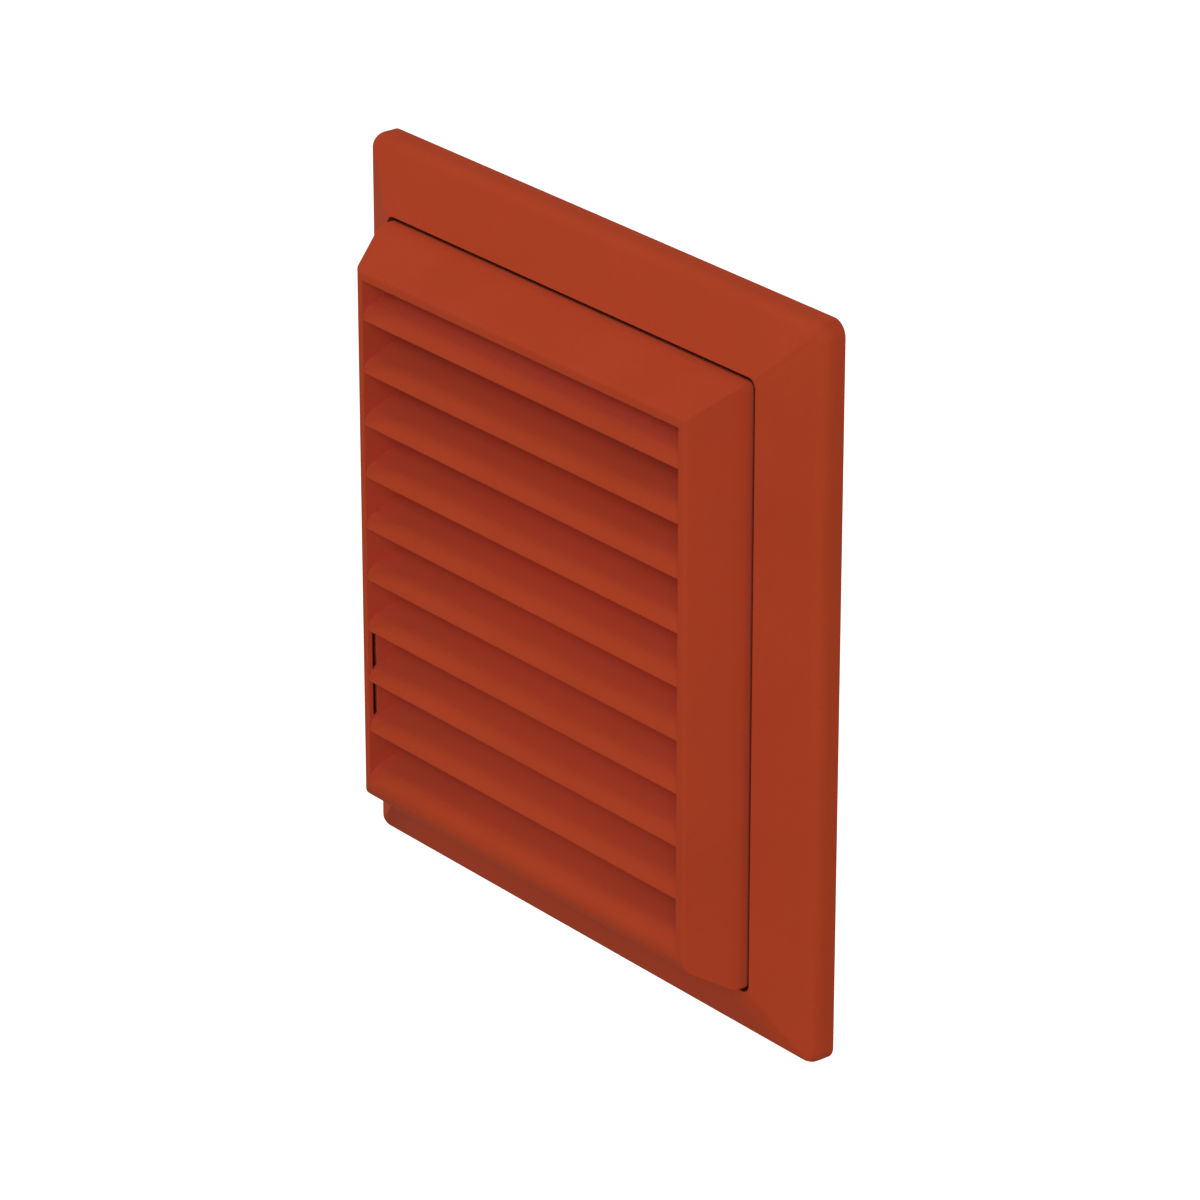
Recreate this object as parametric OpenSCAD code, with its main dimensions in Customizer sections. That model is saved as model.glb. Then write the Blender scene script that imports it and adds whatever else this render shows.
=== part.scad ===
// Louvred ducting grille with a round spigot, as two mouldings: a wall frame and a clip-in louvre cassette.
// Millimetres. The wall face is the plane Y = 0, the louvres look towards -Y, and Z is up.

/* [Wall frame] */
// Width of the frame across the wall
plate_w = 140; // [132:1:170]
// Height of the frame
plate_h = 155; // [148:1:185]
// Radius of the frame's corners seen from the front
plate_corner_r = 3.2; // [3:0.1:6]
// Straight part of the frame's side wall, from the wall up to the rounded edge
side_rise = 2.7; // [1.5:0.1:4]
// Radius of the rounded front edge
edge_r = 3.5; // [2.6:0.1:4.4]
// Width of the sloping border
border_w = 13; // [11:0.5:16]
// Height of the border beside the dark gap, from the wall
border_rise = 10.8; // [10:0.1:13]
// Wall thickness of the hollow border
frame_wall = 2; // [1.5:0.1:2.4]
// Thickness of the back plate
back_t = 2.5; // [2:0.1:3.5]
// Radius of the corners of the well
well_r = 2; // [1.8:0.1:5]
// Stiffening ribs in the hollow border, on each side
ribs_per_side = 3; // [1:1:5]
// Thickness of a rib
rib_t = 1.5; // [1:0.1:2]

/* [Spigot and fixings] */
// Outside diameter of the duct spigot
spigot_d = 99; // [78:0.5:101]
// Wall thickness of the spigot
spigot_wall = 2; // [1.5:0.1:3]
// How far the spigot stands behind the wall face
spigot_len = 15; // [10:1:60]
// Chamfer on the end of the spigot
spigot_lead = 0.8; // [0.4:0.1:1.4]
// Diameter of the four wall screw holes
screw_d = 4.5; // [3.5:0.1:5.5]
// Distance between screw holes across
screw_pitch_x = 92; // [88:1:98]
// Distance between screw holes up and down
screw_pitch_z = 106; // [98:1:112]

/* [Louvre cassette] */
// Gap all round between the frame and the cassette
gap = 0.8; // [0.5:0.1:1.2]
// Depth of the whole front, from the wall to the flat front strip
front_rise = 23; // [22:0.5:30]
// How far the cassette's upright wall stands above the frame beside it
cassette_step = 2; // [1:0.1:3]
// Width of the cassette's bevel at the sides, seen from the front
bevel_side = 5; // [3:0.1:5.5]
// Width of the bevel at the top
bevel_top = 6.2; // [3.5:0.1:7]
// Width of the bevel at the bottom
bevel_bottom = 6; // [5:0.1:7]
// Radius of the rolled lip between the bottom bevel and the sill
lip_r = 4.6; // [3.6:0.1:5]
// Height of the flat front of the lip
lip_flat = 0.2; // [0.1:0.05:0.4]
// Width of the front strip between the bevel and the opening
strip_w = 1.9; // [1.5:0.05:3.5]
// Depth over which the bevel rounds off into the front strip
crest = 0.85; // [0.4:0.05:1.2]
// Shell thickness
shell_t = 1.6; // [1.2:0.1:2]
// Thickness of the walls that hold the slat ends
inner_wall = 1.2; // [1:0.1:1.6]
// How far those walls reach back from the front strip
inner_depth = 13; // [12:0.5:14]

/* [Slats] */
// Number of slats above the sill
slat_count = 9; // [6:1:9]
// Height of the opening between the top strip and the first slat's lower edge
first_gap = 8.4; // [7:0.1:9.5]
// Slat thickness
slat_t = 1.8; // [1.2:0.1:2.2]
// Slope of the slats up towards the duct, degrees
slat_slope = 20; // [12:1:26]
// Radius of the turned-down front of a slat
nose_r = 4; // [3.4:0.1:4.4]
// Height of the turned-down front
nose_h = 3.1; // [2.8:0.1:3.6]
// Depth of a slat, front to back
slat_depth = 12.6; // [9:0.1:12.8]

/* [Clips] */
// Width of a snap hook
hook_w = 10; // [7:0.5:12]
// How far a hook reaches into its window past the well wall's inner face
hook_reach = 1; // [0.7:0.1:1.2]
// Height of the hooks above and below the middle
hook_z = 30; // [24:1:36]
// Slit width beside each spring tongue
slit_w = 1; // [0.8:0.1:1.4]
// Clearance between a hook and the front edge of its window
hook_play = 0.3; // [0.2:0.05:0.4]
// Width of the narrow release slot in each inner wall
slot_w = 1.05; // [0.6:0.05:1.3]
// Length of the release slot
slot_len = 19.5; // [12:0.5:24]
// Distance of the release slot behind the front strip
slot_back = 1.65; // [1.4:0.05:2.4]

/* [View] */
// Sub-part to build

/* [Hidden] */
terracotta = [0.635, 0.243, 0.141];
terracotta_shell = [0.650, 0.255, 0.145];
$fn = 96;

// sloping face of the border: tangent to the rounded edge and passing through the edge beside the gap
slope_run = border_w - edge_r;
slope_lift = border_rise - side_rise;
border_slope = atan2(slope_lift, slope_run) - asin(edge_r / norm([slope_run, slope_lift]));

well_w = plate_w - 2 * border_w;
well_h = plate_h - 2 * border_w;
cassette_w = well_w - 2 * gap;
cassette_h = well_h - 2 * gap;
cassette_r = well_r - gap;
wall_top = border_rise + cassette_step;

open_half = cassette_w / 2 - bevel_side - strip_w;
open_top = cassette_h / 2 - bevel_top - strip_w;
bevel_tilt = atan2(bevel_bottom, front_rise - wall_top);
lip_z = bevel_bottom + lip_r / tan(45 + bevel_tilt / 2);
sill_z = -cassette_h / 2 + lip_z + lip_flat;
inner_back = front_rise - inner_depth;
under_r = nose_r - slat_t;
sill_under = concat(
    [[inner_depth, under_r / cos(slat_slope) + (inner_depth - nose_r) * tan(slat_slope)]],
    [for (a = [90 + slat_slope, 135, 180]) [nose_r, 0] + under_r * [cos(a), sin(a)]]);
slat_pitch = (open_top - first_gap - sill_z - nose_r * cos(slat_slope) + nose_h) / slat_count;

window_back = back_t + 2;
window_front = back_t + 5.8;
tongue_top = back_t + 7.5;

// arc of points about c, from angle a0 to a1
function arc(c, r, a0, a1, steps) =
    [for (i = [0 : steps]) let (a = a0 + (a1 - a0) * i / steps) c + r * [cos(a), sin(a)]];

// height of a profile's points does not depend on the side, so that the bevels meet in true mitres
function frame_edge(t) = concat(
    [[t, t > 0 ? -1 : 0]],
    [for (p = arc([edge_r, side_rise], edge_r - t, 180, 90 + border_slope, 8)) p],
    [[border_w, border_rise - t / cos(border_slope)]]);

// cassette outline on a side whose bevel is b wide: upright wall, soft turn, bevel
function turn(b, u) = let (s0 = wall_top - 1.6, s1 = wall_top, s2 = wall_top + 2.4,
        e = b * (s2 - s1) / (front_rise - s1))
    [u * u * e, (1 - u) * (1 - u) * s0 + 2 * u * (1 - u) * s1 + u * u * s2];
function crest_turn(b, u) = let (run = b / (front_rise - wall_top) * crest)
    [b - (1 - u) * (1 - u) * run + u * u * norm([run, crest]), front_rise - (1 - u) * (1 - u) * crest];
function cassette_edge(b) = concat(
    [[0, back_t]],
    [for (i = [0 : 5]) turn(b, i / 5)],
    [for (i = [0 : 6]) crest_turn(b, i / 6)]);
function lip_edge() = concat(
    [[0, back_t]],
    [for (i = [0 : 5]) turn(bevel_bottom, i / 5)],
    arc([lip_z, front_rise - lip_r], lip_r, 180 - bevel_tilt, 90, 8));
function cavity_edge(b) = let (h = front_rise - wall_top, lift = h - shell_t, dx = shell_t * norm([b, h]) / h)
    [[shell_t, back_t - 1], [shell_t, wall_top - 1], [dx, wall_top], [b * lift / h + dx, front_rise - shell_t]];

// closed section across a body, from the edge lists of its two sides
function section(half, low, high) = concat(
    [for (p = low) [-half + p[0], p[1]]],
    [for (i = [len(high) - 1 : -1 : 0]) [half - high[i][0], high[i][1]]]);

module across(len) {
    rotate([90, 0, 90])
        linear_extrude(len, center = true)
            children();
}

module upright(len) {
    linear_extrude(len, center = true)
        children();
}

// from one height above the wall to another, towards the front
module forward(from, to) {
    translate([0, -from, 0])
        rotate([90, 0, 0])
            linear_extrude(to - from)
                children();
}

module rounded(w, h, r) {
    square([w - 2 * r, h], center = true);
    square([w, h - 2 * r], center = true);
    for (x = [-1, 1], z = [-1, 1])
        translate([x * (w / 2 - r), z * (h / 2 - r)])
            circle(r);
}

// solid bounded by one section seen from above and one seen from the side
module mitred(w, h, side, low, high) {
    intersection() {
        upright(h + 2)
            polygon([for (p = section(w / 2, side, side)) [p[0], -p[1]]]);
        across(w + 2)
            polygon([for (p = section(h / 2, low, high)) [-p[1], p[0]]]);
    }
}

module frame_channel() {
    difference() {
        mitred(plate_w, plate_h, frame_edge(frame_wall), frame_edge(frame_wall), frame_edge(frame_wall));
        forward(-2, border_rise + 1)
            square([well_w + 2 * frame_wall, well_h + 2 * frame_wall], center = true);
        for (i = [1 : ribs_per_side], s = [-1, 1]) {
            translate([s * (plate_w - border_w) / 2, -border_rise / 2 - 0.6, plate_h * (i / (ribs_per_side + 1) - 0.5)])
                cube([border_w, border_rise, rib_t], center = true);
            translate([plate_w * (i / (ribs_per_side + 1) - 0.5), -border_rise / 2 - 0.6, s * (plate_h - border_w) / 2])
                cube([rib_t, border_rise, border_w], center = true);
        }
    }
}

// quarter of the border turned about the centre of a corner, so that the front edge stays round there
module frame_corner() {
    top = border_rise - (border_w - plate_corner_r) * tan(border_slope);
    rotate([90, 0, 0])
        rotate_extrude(angle = 90)
            polygon(concat(
                [[0, 0]],
                [for (p = frame_edge(0)) if (p[0] < plate_corner_r) [plate_corner_r - p[0], p[1]]],
                [[0, top]]));
}

module frame_outside() {
    intersection() {
        mitred(plate_w, plate_h, frame_edge(0), frame_edge(0), frame_edge(0));
        forward(0, border_rise) {
            square([plate_w - 2 * plate_corner_r, plate_h], center = true);
            square([plate_w, plate_h - 2 * plate_corner_r], center = true);
        }
    }
    for (x = [0, 1], z = [0, 1])
        mirror([x, 0, 0])
            mirror([0, 0, z])
                translate([plate_w / 2 - plate_corner_r, 0, plate_h / 2 - plate_corner_r])
                    frame_corner();
}

module wall_frame() {
    color(terracotta)
        difference() {
            union() {
                difference() {
                    frame_outside();
                    frame_channel();
                    forward(back_t, border_rise + 1)
                        rounded(well_w, well_h, well_r);
                }
                rotate([-90, 0, 0])
                    translate([0, 0, -back_t / 2])
                        cylinder(h = spigot_len - spigot_lead + back_t / 2, d = spigot_d);
                translate([0, spigot_len - spigot_lead, 0])
                    rotate([-90, 0, 0])
                        cylinder(h = spigot_lead, d1 = spigot_d, d2 = spigot_d - 2 * spigot_lead);
            }
            translate([0, -back_t - 1, 0])
                rotate([-90, 0, 0])
                    cylinder(h = spigot_len + back_t + 2, d = spigot_d - 2 * spigot_wall);
            for (x = [-1, 1], z = [-1, 1])
                translate([x * screw_pitch_x / 2, -back_t - 1, z * screw_pitch_z / 2])
                    rotate([-90, 0, 0])
                        cylinder(h = back_t + 2, d = screw_d);
            for (x = [-1, 1], z = [-1, 1])
                translate([x * (well_w + frame_wall) / 2, -(window_back + window_front) / 2, z * hook_z])
                    cube([frame_wall + 1, window_front - window_back, hook_w + 2], center = true);
        }
}

// side view of one slat: distance behind the front strip, height above the slat's lower front edge
function slat_side(r, h, slope, t, depth) =
    let (c = [r, h - r * cos(slope)], low = asin(-c[1] / r), low_in = asin(-c[1] / (r - t)))
    concat(
        arc(c, r, 180 - low, 90 + slope, 8),
        [[depth, h + (depth - r * (1 - sin(slope))) * tan(slope)]],
        [[depth, h + (depth - r * (1 - sin(slope))) * tan(slope) - t / cos(slope)]],
        arc(c, r - t, 90 + slope, 180 - low_in, 6));

module slats() {
    for (i = [0 : slat_count - 1])
        translate([0, -front_rise, open_top - first_gap - i * slat_pitch])
            across(2 * open_half + inner_wall)
                polygon(slat_side(nose_r, nose_h, slat_slope, slat_t, slat_depth));
}

// top of the sill, from its front back to the given depth: shaped as one more slat
function sill_top(depth) = concat(
    arc([nose_r, 0], nose_r, 180, 90 + slat_slope, 9),
    [[depth, nose_r / cos(slat_slope) + (depth - nose_r) * tan(slat_slope)]]);

// the opening that the slats cross: everything above the sill, out through the front
module opening() {
    across(2 * open_half)
        polygon(concat(
            [[-front_rise - 1, open_top], [-front_rise - 1, sill_z]],
            [for (p = sill_top(inner_depth + 1)) [p[0] - front_rise, p[1] + sill_z]],
            [[1 - inner_back, open_top]]));
}

// walls round the opening, the sill and the inside of the lip, before the opening is cut through them
module inner_block() {
    low = lip_r - shell_t;
    across(2 * (open_half + inner_wall))
        polygon(concat(
            [[-front_rise + 0.5, open_top + inner_wall], [-inner_back, open_top + inner_wall]],
            [for (p = sill_under) [p[0] - front_rise, p[1] + sill_z]],
            [[-front_rise + lip_r - low * cos(32), sill_z - lip_flat - low * sin(32)]],
            [[-front_rise + 0.8, sill_z - lip_flat - 0.5 * lip_r + 0.1]]));
}

module slot_side() {
    translate([-front_rise + slot_back, -hook_z])
        rounded(slot_w, slot_len, slot_w / 2 - 0.01);
}

module hook(side) {
    x0 = cassette_w / 2 - 0.4;
    x1 = well_w / 2 + hook_reach;
    upright(hook_w)
        polygon([
            [side * x0, -window_front + hook_play],
            [side * x1, -window_front + hook_play],
            [side * x1, -window_front + hook_play + 0.8],
            [side * x0, -window_back - 0.2]]);
}

module louvre_cassette() {
    color(terracotta_shell) {
        difference() {
            intersection() {
                mitred(cassette_w, cassette_h, cassette_edge(bevel_side), lip_edge(), cassette_edge(bevel_top));
                forward(back_t, front_rise)
                    rounded(cassette_w, cassette_h, cassette_r);
            }
            difference() {
                mitred(cassette_w, cassette_h, cavity_edge(bevel_side), cavity_edge(bevel_bottom),
                    cavity_edge(bevel_top));
                inner_block();
            }
            opening();
            across(2 * (open_half + inner_wall) + 0.4)
                slot_side();
            for (x = [-1, 1], z = [-1, 1], s = [-1, 1])
                translate([x * (cassette_w - shell_t) / 2, -tongue_top / 2, z * hook_z + s * (hook_w + slit_w) / 2])
                    cube([shell_t + 1, tongue_top, slit_w], center = true);
        }
        slats();
        for (x = [-1, 1], z = [-1, 1])
            translate([0, 0, z * hook_z])
                hook(x);
    }
}

wall_frame();
louvre_cassette();
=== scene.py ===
import math

import bpy
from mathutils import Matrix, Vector


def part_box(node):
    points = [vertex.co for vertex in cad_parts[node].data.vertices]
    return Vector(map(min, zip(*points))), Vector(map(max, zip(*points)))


MM = 0.001

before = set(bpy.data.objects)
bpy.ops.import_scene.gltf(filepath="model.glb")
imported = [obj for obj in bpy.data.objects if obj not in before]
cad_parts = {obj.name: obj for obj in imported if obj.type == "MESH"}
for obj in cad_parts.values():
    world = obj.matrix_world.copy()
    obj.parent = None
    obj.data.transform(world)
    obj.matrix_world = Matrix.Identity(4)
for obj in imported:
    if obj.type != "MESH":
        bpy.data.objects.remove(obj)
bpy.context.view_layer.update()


# Node helpers
def fill(tree, node, values):
    """Gives each named or numbered input of a node its value, or its link to another node's output."""
    for name, value in values.items():
        if isinstance(value, bpy.types.NodeSocket):
            tree.links.new(value, node.inputs[name])
        else:
            node.inputs[name].default_value = value


def noise(tree, place, scale, detail, rough):
    node = tree.nodes.new("ShaderNodeTexNoise")
    fill(tree, node, {"Vector": place, "Scale": scale, "Detail": detail, "Roughness": rough})
    return node.outputs["Fac"]


def remap(tree, source, span, ends, curve="LINEAR"):
    """Maps a span of values to the two ends given, and stays at an end outside the span."""
    node = tree.nodes.new("ShaderNodeMapRange")
    node.interpolation_type = curve
    fill(tree, node, {"Value": source, "From Min": span[0], "From Max": span[1]})
    fill(tree, node, {"To Min": ends[0], "To Max": ends[1]})
    return node.outputs["Result"]


def mix(tree, kind, factor, a, b):
    """Mixes two colours or vectors: all a where the factor is 0, all b where it is 1."""
    node = tree.nodes.new("ShaderNodeMix")
    node.data_type = kind
    fill(tree, node, {"Factor": factor, "A": a, "B": b})
    return node.outputs["Result"]


def calc(tree, operation, *values):
    node = tree.nodes.new("ShaderNodeMath")
    node.operation = operation
    # a Math node's inputs share one name, so they are filled by number
    fill(tree, node, dict(enumerate(values)))
    return node.outputs["Value"]


def split(tree, vector):
    node = tree.nodes.new("ShaderNodeSeparateXYZ")
    fill(tree, node, {"Vector": vector})
    return node.outputs["X"], node.outputs["Y"], node.outputs["Z"]


def open_share(tree, reach):
    """How open the surface is to what lies within reach: 0 in a closed corner, 1 in the open."""
    node = tree.nodes.new("ShaderNodeAmbientOcclusion")
    node.samples = 8
    fill(tree, node, {"Distance": reach})
    return node.outputs["AO"]


def bump(tree, height, strength, depth, normal):
    node = tree.nodes.new("ShaderNodeBump")
    fill(tree, node, {"Height": height, "Strength": strength, "Distance": depth, "Normal": normal})
    return node.outputs["Normal"]


def new_material(name):
    mat = bpy.data.materials.new(name)
    mat.use_nodes = True
    tree = mat.node_tree
    tree.nodes.clear()
    out = tree.nodes.new("ShaderNodeOutputMaterial")
    bsdf = tree.nodes.new("ShaderNodeBsdfPrincipled")
    tree.links.new(bsdf.outputs["BSDF"], out.inputs["Surface"])
    return mat, tree, bsdf


# Plastic
# tone and roughness of each piece, first where its faint cloud noise is low and then where it is high
FRAME_TONES = ((0.452, 0.0573, 0.0197, 1), (0.480, 0.0614, 0.0212, 1))
FRAME_ROUGHNESS = (0.55, 0.62)
LOUVRE_TONES = ((0.450, 0.0565, 0.0196, 1), (0.478, 0.0606, 0.0211, 1))
LOUVRE_ROUGHNESS = (0.53, 0.60)
MATT_SPECULAR = 0.02
# scale, detail and roughness of each noise texture
CLOUD = (38, 3, 0.55)
SPECK = (900, 2, 0.6)
GRAIN = (4200, 2, 0.55)
SWELL = (55, 1, 0.4)
# values of the cloud noise between which the tone and the roughness change
CLOUD_SPAN = (0.32, 0.68)
ROUGHNESS_SPAN = (0.3, 0.7)
# the fine specks: values of their noise between which they show, their tint, and the most of it that shows
SPECK_SPAN = (0.35, 0.7)
SPECK_TINT = (0.82, 0.82, 0.82)
SPECK_SHARE = 0.10
# strength and depth of each bump
SWELL_BUMP = (0.35, 0.05 * MM)
GRAIN_BUMP = (0.45, 0.02 * MM)
# painted light between the slats, and painted shade in the narrow gap and slots: how far each reaches, the
# open shares between which it shows, and its tint or tone
SLAT_ROOM_REACH = 16 * MM
SLAT_ROOM_SPAN = (0.36, 0.83)
SLAT_ROOM_PAINTED_LIGHT_TINT = (1.17, 1.25, 1.90)
GAP_REACH = 2.2 * MM
GAP_SPAN = (0.22, 0.46)
GAP_PAINTED_SHADE = (0.030, 0.006, 0.003, 1)
EDGE_SOFTNESS = 0.25 * MM
# start and end of the turn at a mitre, measured past the mitre into the border's upright side
UPPER_TURN_START = -2 * MM
LOWER_TURN_START = -13 * MM
TURN_END = 3.5 * MM
# how squarely a face looks to the front: -1 is straight to the front, 0 is sideways
SLOPING_SPAN = (-0.85, -0.55)


def tinted(colour, tint):
    return tuple(part * factor for part, factor in zip(colour, tint)) + (1,)


def soft_mitres(tree, place, normal, half_width, half_height):
    """Turns the sloping border's shading gradually round its corners, as its soft mitres do in the photo."""
    across, _, up = split(tree, place)
    _, facing, _ = split(tree, normal)
    past_square = calc(tree, "SUBTRACT", calc(tree, "ABSOLUTE", across), calc(tree, "ABSOLUTE", up))
    past_mitre = calc(tree, "ADD", past_square, half_height - half_width)
    # the lower mitres are softer than the upper ones, and their turn starts in the lower side
    below = calc(tree, "LESS_THAN", up, 0.0)
    start = calc(tree, "MULTIPLY_ADD", below, LOWER_TURN_START - UPPER_TURN_START, UPPER_TURN_START)
    turn = remap(tree, past_mitre, (start, TURN_END), (0, math.pi / 2), "SMOOTHSTEP")
    lean = calc(tree, "SQRT", calc(tree, "SUBTRACT", 1.0, calc(tree, "POWER", facing, 2.0)))
    turned = tree.nodes.new("ShaderNodeCombineXYZ")
    fill(tree, turned, {"Y": facing})
    for axis, side, part in (("X", across, "SINE"), ("Z", up, "COSINE")):
        length = calc(tree, "MULTIPLY", lean, calc(tree, part, turn))
        fill(tree, turned, {axis: calc(tree, "MULTIPLY", calc(tree, "SIGN", side), length)})
    # only the sloping face turns, the rounded outer edge and the upright walls keep their own shading
    sloping = remap(tree, facing, SLOPING_SPAN, (1, 0))
    return mix(tree, "VECTOR", sloping, normal, turned.outputs["Vector"])


# the plastic's own cloudy and speckled colour, with painted light between the slats and painted shade in the
# gap and slots
def plastic_colour_with_painted_light(tree, cloud, speck, tones):
    dark, light = tones
    cloudy = mix(tree, "RGBA", remap(tree, cloud, CLOUD_SPAN, (0, 1)), dark, light)
    specks = remap(tree, speck, SPECK_SPAN, (0, SPECK_SHARE))
    speckled = mix(tree, "RGBA", specks, cloudy, tinted(dark, SPECK_TINT))
    # painted light: between the slats the colour is made a little lighter and less orange, so their shade is
    # softer than the lamps alone make it
    outside = remap(tree, open_share(tree, SLAT_ROOM_REACH), SLAT_ROOM_SPAN, (0, 1))
    slat_room_painted_light = mix(tree, "RGBA", outside, tinted(light, SLAT_ROOM_PAINTED_LIGHT_TINT), speckled)
    # painted shade: inside the narrow gap and the release slots the colour is made almost black, as they see
    # almost no light
    out_of_gap = remap(tree, open_share(tree, GAP_REACH), GAP_SPAN, (0, 1))
    return mix(tree, "RGBA", out_of_gap, GAP_PAINTED_SHADE, slat_room_painted_light)


def moulded_plastic(name, tones, roughness, border_halves=None):
    """Terracotta plastic from a finely textured mould: faint cloudy colour, a fine grain and soft edges.

    A piece with a mitred border also gives half the border's width and half its height.
    """
    mat, tree, bsdf = new_material(name)
    place = tree.nodes.new("ShaderNodeTexCoord").outputs["Object"]
    cloud, speck, grain, swell = [noise(tree, place, *texture) for texture in (CLOUD, SPECK, GRAIN, SWELL)]
    soft_edge = tree.nodes.new("ShaderNodeBevel")
    soft_edge.samples = 6
    fill(tree, soft_edge, {"Radius": EDGE_SOFTNESS})
    normal = soft_edge.outputs["Normal"]
    if border_halves:
        normal = soft_mitres(tree, place, normal, *border_halves)
    normal = bump(tree, swell, *SWELL_BUMP, normal)
    normal = bump(tree, grain, *GRAIN_BUMP, normal)
    fill(tree, bsdf, {
        # the base colour holds painted light between the slats and painted shade in the narrow gap and slots
        "Base Color": plastic_colour_with_painted_light(tree, cloud, speck, tones),
        "Roughness": remap(tree, cloud, ROUGHNESS_SPAN, roughness),
        "Specular IOR Level": MATT_SPECULAR,
        "Normal": normal,
    })
    return mat


# Rounded edges
CRISP_ANGLE = math.radians(24)
WELD_DISTANCE = 0.002 * MM


def shade_node(group, domain, smooth):
    node = group.nodes.new("GeometryNodeSetShadeSmooth")
    node.domain = domain
    fill(group, node, {"Shade Smooth": smooth})
    return node


def soft_turns(obj):
    """Shades the narrow strips of a rounded edge as one smooth turn, and keeps the real edges crisp."""
    group = bpy.data.node_groups.new("soft_turns_" + obj.name, "GeometryNodeTree")
    for way in ("INPUT", "OUTPUT"):
        group.interface.new_socket("Geometry", in_out=way, socket_type="NodeSocketGeometry")
    start = group.nodes.new("NodeGroupInput")
    end = group.nodes.new("NodeGroupOutput")
    weld = group.nodes.new("GeometryNodeMergeByDistance")
    fill(group, weld, {"Distance": WELD_DISTANCE})
    drop = group.nodes.new("GeometryNodeRemoveAttribute")
    fill(group, drop, {"Name": "custom_normal"})
    smooth = shade_node(group, "FACE", True)
    crisp = shade_node(group, "EDGE", False)
    fold = group.nodes.new("GeometryNodeInputMeshEdgeAngle")
    sharper = group.nodes.new("FunctionNodeCompare")
    sharper.data_type = "FLOAT"
    sharper.operation = "GREATER_THAN"
    fill(group, sharper, {"A": fold.outputs["Unsigned Angle"], "B": CRISP_ANGLE})
    fill(group, crisp, {"Selection": sharper.outputs["Result"]})
    chain = [start, weld, drop, smooth, crisp, end]
    for earlier, later in zip(chain, chain[1:]):
        group.links.new(earlier.outputs[0], later.inputs[0])
    obj.modifiers.new("soft turns", "NODES").node_group = group


frame_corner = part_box("wall_frame")[1]
border_halves = (frame_corner[0], frame_corner[2])
plastics = {
    "wall_frame": moulded_plastic("terracotta_frame", FRAME_TONES, FRAME_ROUGHNESS, border_halves),
    "louvre_cassette": moulded_plastic("terracotta_louvres", LOUVRE_TONES, LOUVRE_ROUGHNESS),
}
for node_name, plastic in plastics.items():
    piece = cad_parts[node_name]
    for slot in piece.material_slots:
        slot.material = plastic
    soft_turns(piece)


# Stage and light
# a white studio floor that curves up into a dome, far enough away that no shadow reaches it, and near enough
# that the cameras of the other views see it too; radius and height in metres of each ring, and of the top
DOME_RINGS = ((6.0, -3.0), (8.0, -2.3), (9.0, -0.5), (9.0, 2.0), (7.5, 5.0), (4.5, 7.6))
DOME_TOP = 9.0
RING_STEPS = 64
WHITE = (1, 1, 1, 1)
FLOOR_WHITE = (0.90, 0.90, 0.90, 1)
FLOOR_ROUGHNESS = 0.9
FLOOR_GLOW = 0.75
WORLD_STRENGTH = 0.412
LAMP_DISTANCE = 5.0
LAMP_SIZE = 2.0


def add_object(name, data):
    obj = bpy.data.objects.new(name, data)
    bpy.context.scene.collection.objects.link(obj)
    return obj


def toward(azimuth, elevation):
    """Unit vector: azimuth 0 is straight in front of the part, 90 is to the right as seen from the front."""
    turn = math.radians(azimuth)
    rise = math.radians(elevation)
    return Vector((math.sin(turn) * math.cos(rise), -math.cos(turn) * math.cos(rise), math.sin(rise)))


def put_and_aim(obj, place, target):
    obj.location = place
    obj.rotation_euler = (target - place).to_track_quat("-Z", "Y").to_euler()


def ring(radius, height):
    turns = [math.tau * step / RING_STEPS for step in range(RING_STEPS)]
    return [(radius * math.cos(turn), radius * math.sin(turn), height) for turn in turns]


def dome_mesh():
    """Bands of faces between the rings, closed by a fan of triangles at the bottom and at the top."""
    verts = [point for radius, height in DOME_RINGS for point in ring(radius, height)]
    low_middle, high_middle = len(verts), len(verts) + 1
    verts += [(0, 0, DOME_RINGS[0][1]), (0, 0, DOME_TOP)]
    last_ring = (len(DOME_RINGS) - 1) * RING_STEPS
    faces = []
    for step in range(RING_STEPS):
        after = (step + 1) % RING_STEPS
        faces += [(low_middle, step, after), (high_middle, last_ring + after, last_ring + step)]
        for low in range(0, last_ring, RING_STEPS):
            high = low + RING_STEPS
            faces.append((low + step, high + step, high + after, low + after))
    mesh = bpy.data.meshes.new("floor")
    mesh.from_pydata(verts, [], faces)
    for face in mesh.polygons:
        face.use_smooth = True
    return mesh


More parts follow.
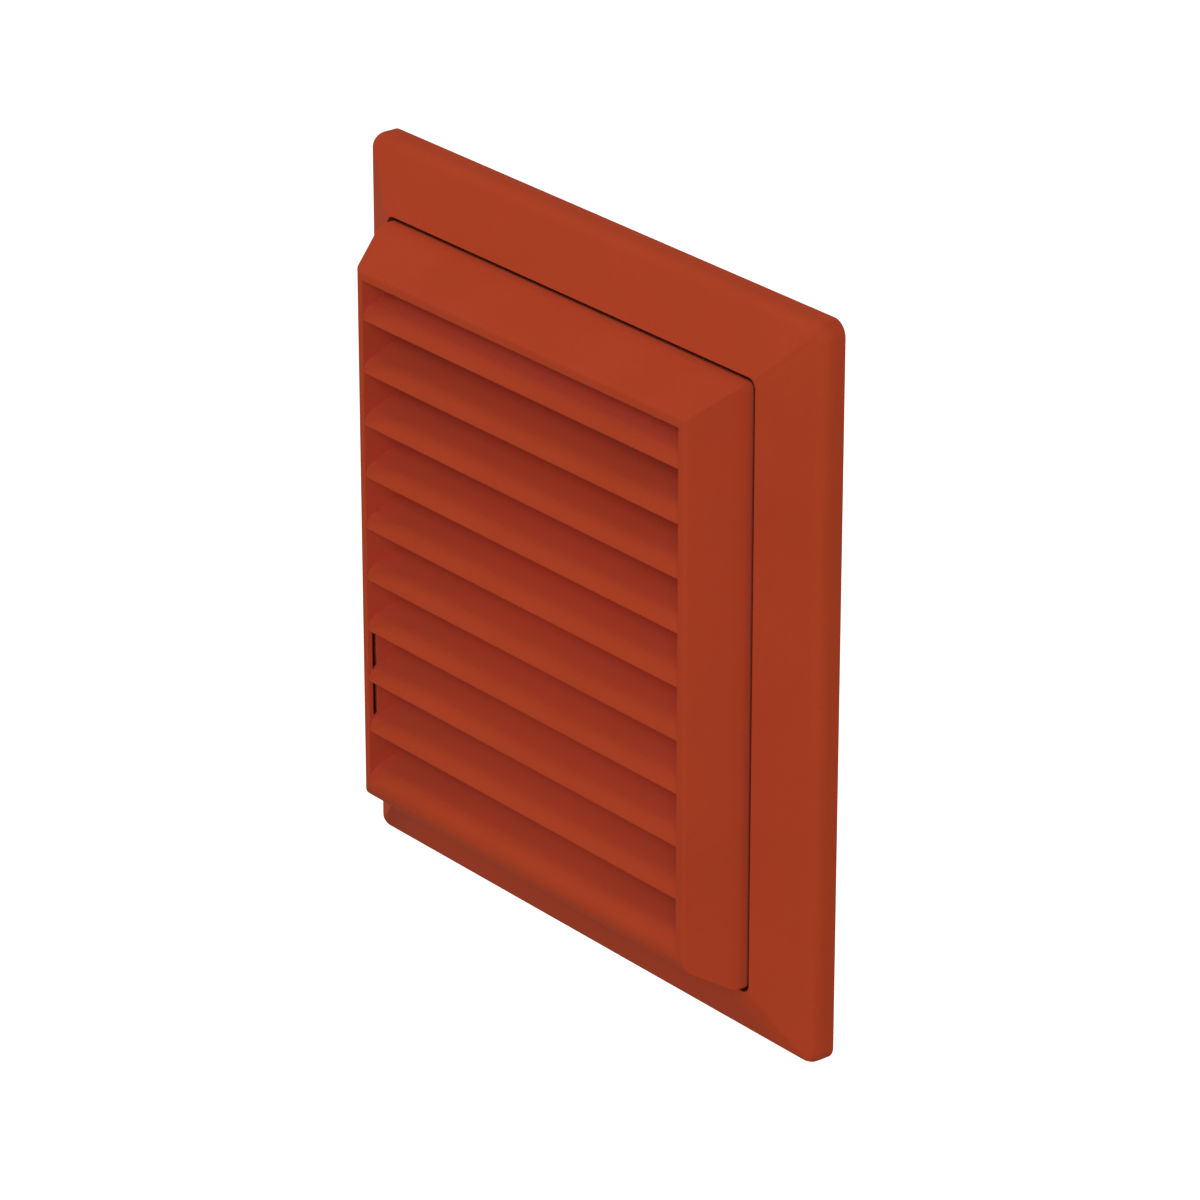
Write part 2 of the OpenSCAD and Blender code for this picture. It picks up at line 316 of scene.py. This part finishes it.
def floor_material():
    mat, tree, bsdf = new_material("white_floor")
    fill(tree, bsdf, {"Base Color": FLOOR_WHITE, "Roughness": FLOOR_ROUGHNESS, "Specular IOR Level": 0.0})
    fill(tree, bsdf, {"Emission Color": WHITE, "Emission Strength": FLOOR_GLOW})
    return mat


def add_floor():
    floor = add_object("floor", dome_mesh())
    floor.data.materials.append(floor_material())
    # the part is lit by the world and the lamps, and the lit floor is only its background
    floor.visible_diffuse = False
    floor.visible_glossy = False


def add_world():
    world = bpy.data.worlds.new("studio")
    world.use_nodes = True
    fill(world.node_tree, world.node_tree.nodes["Background"], {"Color": WHITE, "Strength": WORLD_STRENGTH})
    bpy.context.scene.world = world


def add_lamp(name, azimuth, elevation, power):
    data = bpy.data.lights.new(name, "AREA")
    data.shape = "SQUARE"
    data.size = LAMP_SIZE
    data.energy = power
    lamp = add_object(name, data)
    put_and_aim(lamp, LAMP_DISTANCE * toward(azimuth, elevation), Vector((0, 0, 0)))
    return lamp


add_floor()
add_world()
add_lamp("key", azimuth=30, elevation=30, power=62.6)
add_lamp("camera_side", azimuth=51, elevation=22, power=45.0)
left_side = add_lamp("left_side", azimuth=-85, elevation=27, power=88.0)
# seen from the camera this lamp would glint along the front faces, which the photo's matt plastic doesn't
left_side.visible_glossy = False
add_lamp("behind", azimuth=215, elevation=-3, power=45.0)
bpy.context.scene.view_settings.view_transform = "Standard"
bpy.context.scene.view_settings.look = "None"


# Camera
VIEW_AZIMUTH = 51.08
VIEW_ELEVATION = 23.81
VIEW_DISTANCE = 1219 * MM
# how far the point it looks at lies to the right of the origin, as the camera sees it, and above the origin
AIM_RIGHT = -1.63 * MM
AIM_UP = -3.00 * MM


def add_camera():
    data = bpy.data.cameras.new("camera")
    data.sensor_width = 36
    data.lens = 184.4
    data.clip_end = 100
    camera = add_object("camera", data)
    turn = math.radians(VIEW_AZIMUTH)
    target = Vector((AIM_RIGHT * math.cos(turn), AIM_RIGHT * math.sin(turn), AIM_UP))
    put_and_aim(camera, VIEW_DISTANCE * toward(VIEW_AZIMUTH, VIEW_ELEVATION), target)
    bpy.context.scene.camera = camera


add_camera()
